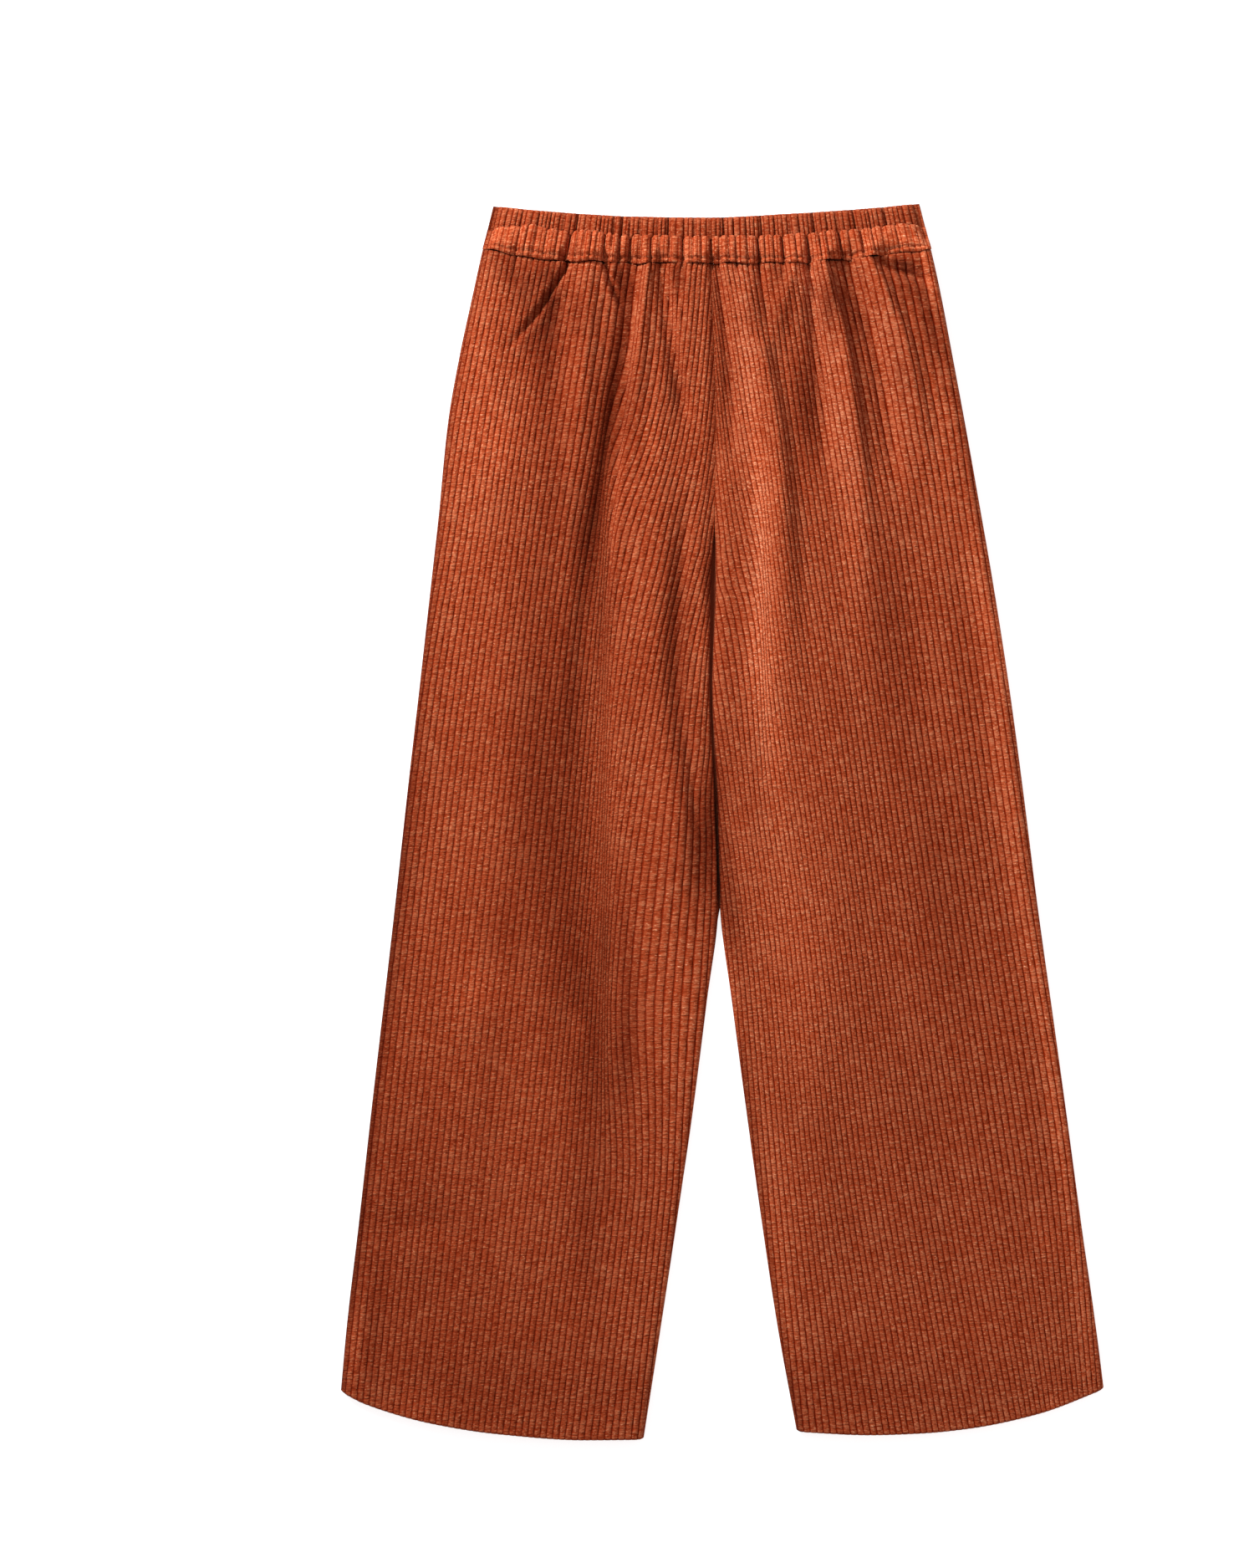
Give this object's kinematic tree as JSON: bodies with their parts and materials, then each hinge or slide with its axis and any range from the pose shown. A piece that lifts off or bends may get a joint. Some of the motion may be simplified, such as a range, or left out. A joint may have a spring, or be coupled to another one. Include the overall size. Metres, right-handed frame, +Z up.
{
  "type": "corduroy trousers laid flat",
  "caption": "Wide-leg pull-on corduroy trousers with a gathered elastic waist, laid flat with the front up.",
  "frame": {"origin": "on the surface that the trousers lie on, under the middle of their outline", "axes": "+Y from the hems to the waist, +X towards the wearer's left, +Z up from the surface, with the front of the trousers up"},
  "size_m": [0.6054, 0.9803, 0.0187],
  "materials": {
    "corduroy": "wide-wale cotton corduroy, soft nap",
    "corduroy_inside": "smooth woven back of the corduroy"
  },
  "bodies": {
    "root": {"front_right": "corduroy", "front_left": "corduroy", "back_right": "corduroy", "back_left": "corduroy", "waistband_front": "corduroy", "waistband_back": "corduroy", "hem_front_right": "corduroy_inside", "hem_front_left": "corduroy_inside", "hem_back_right": "corduroy_inside", "hem_back_left": "corduroy_inside"}
  },
  "joints": []
}
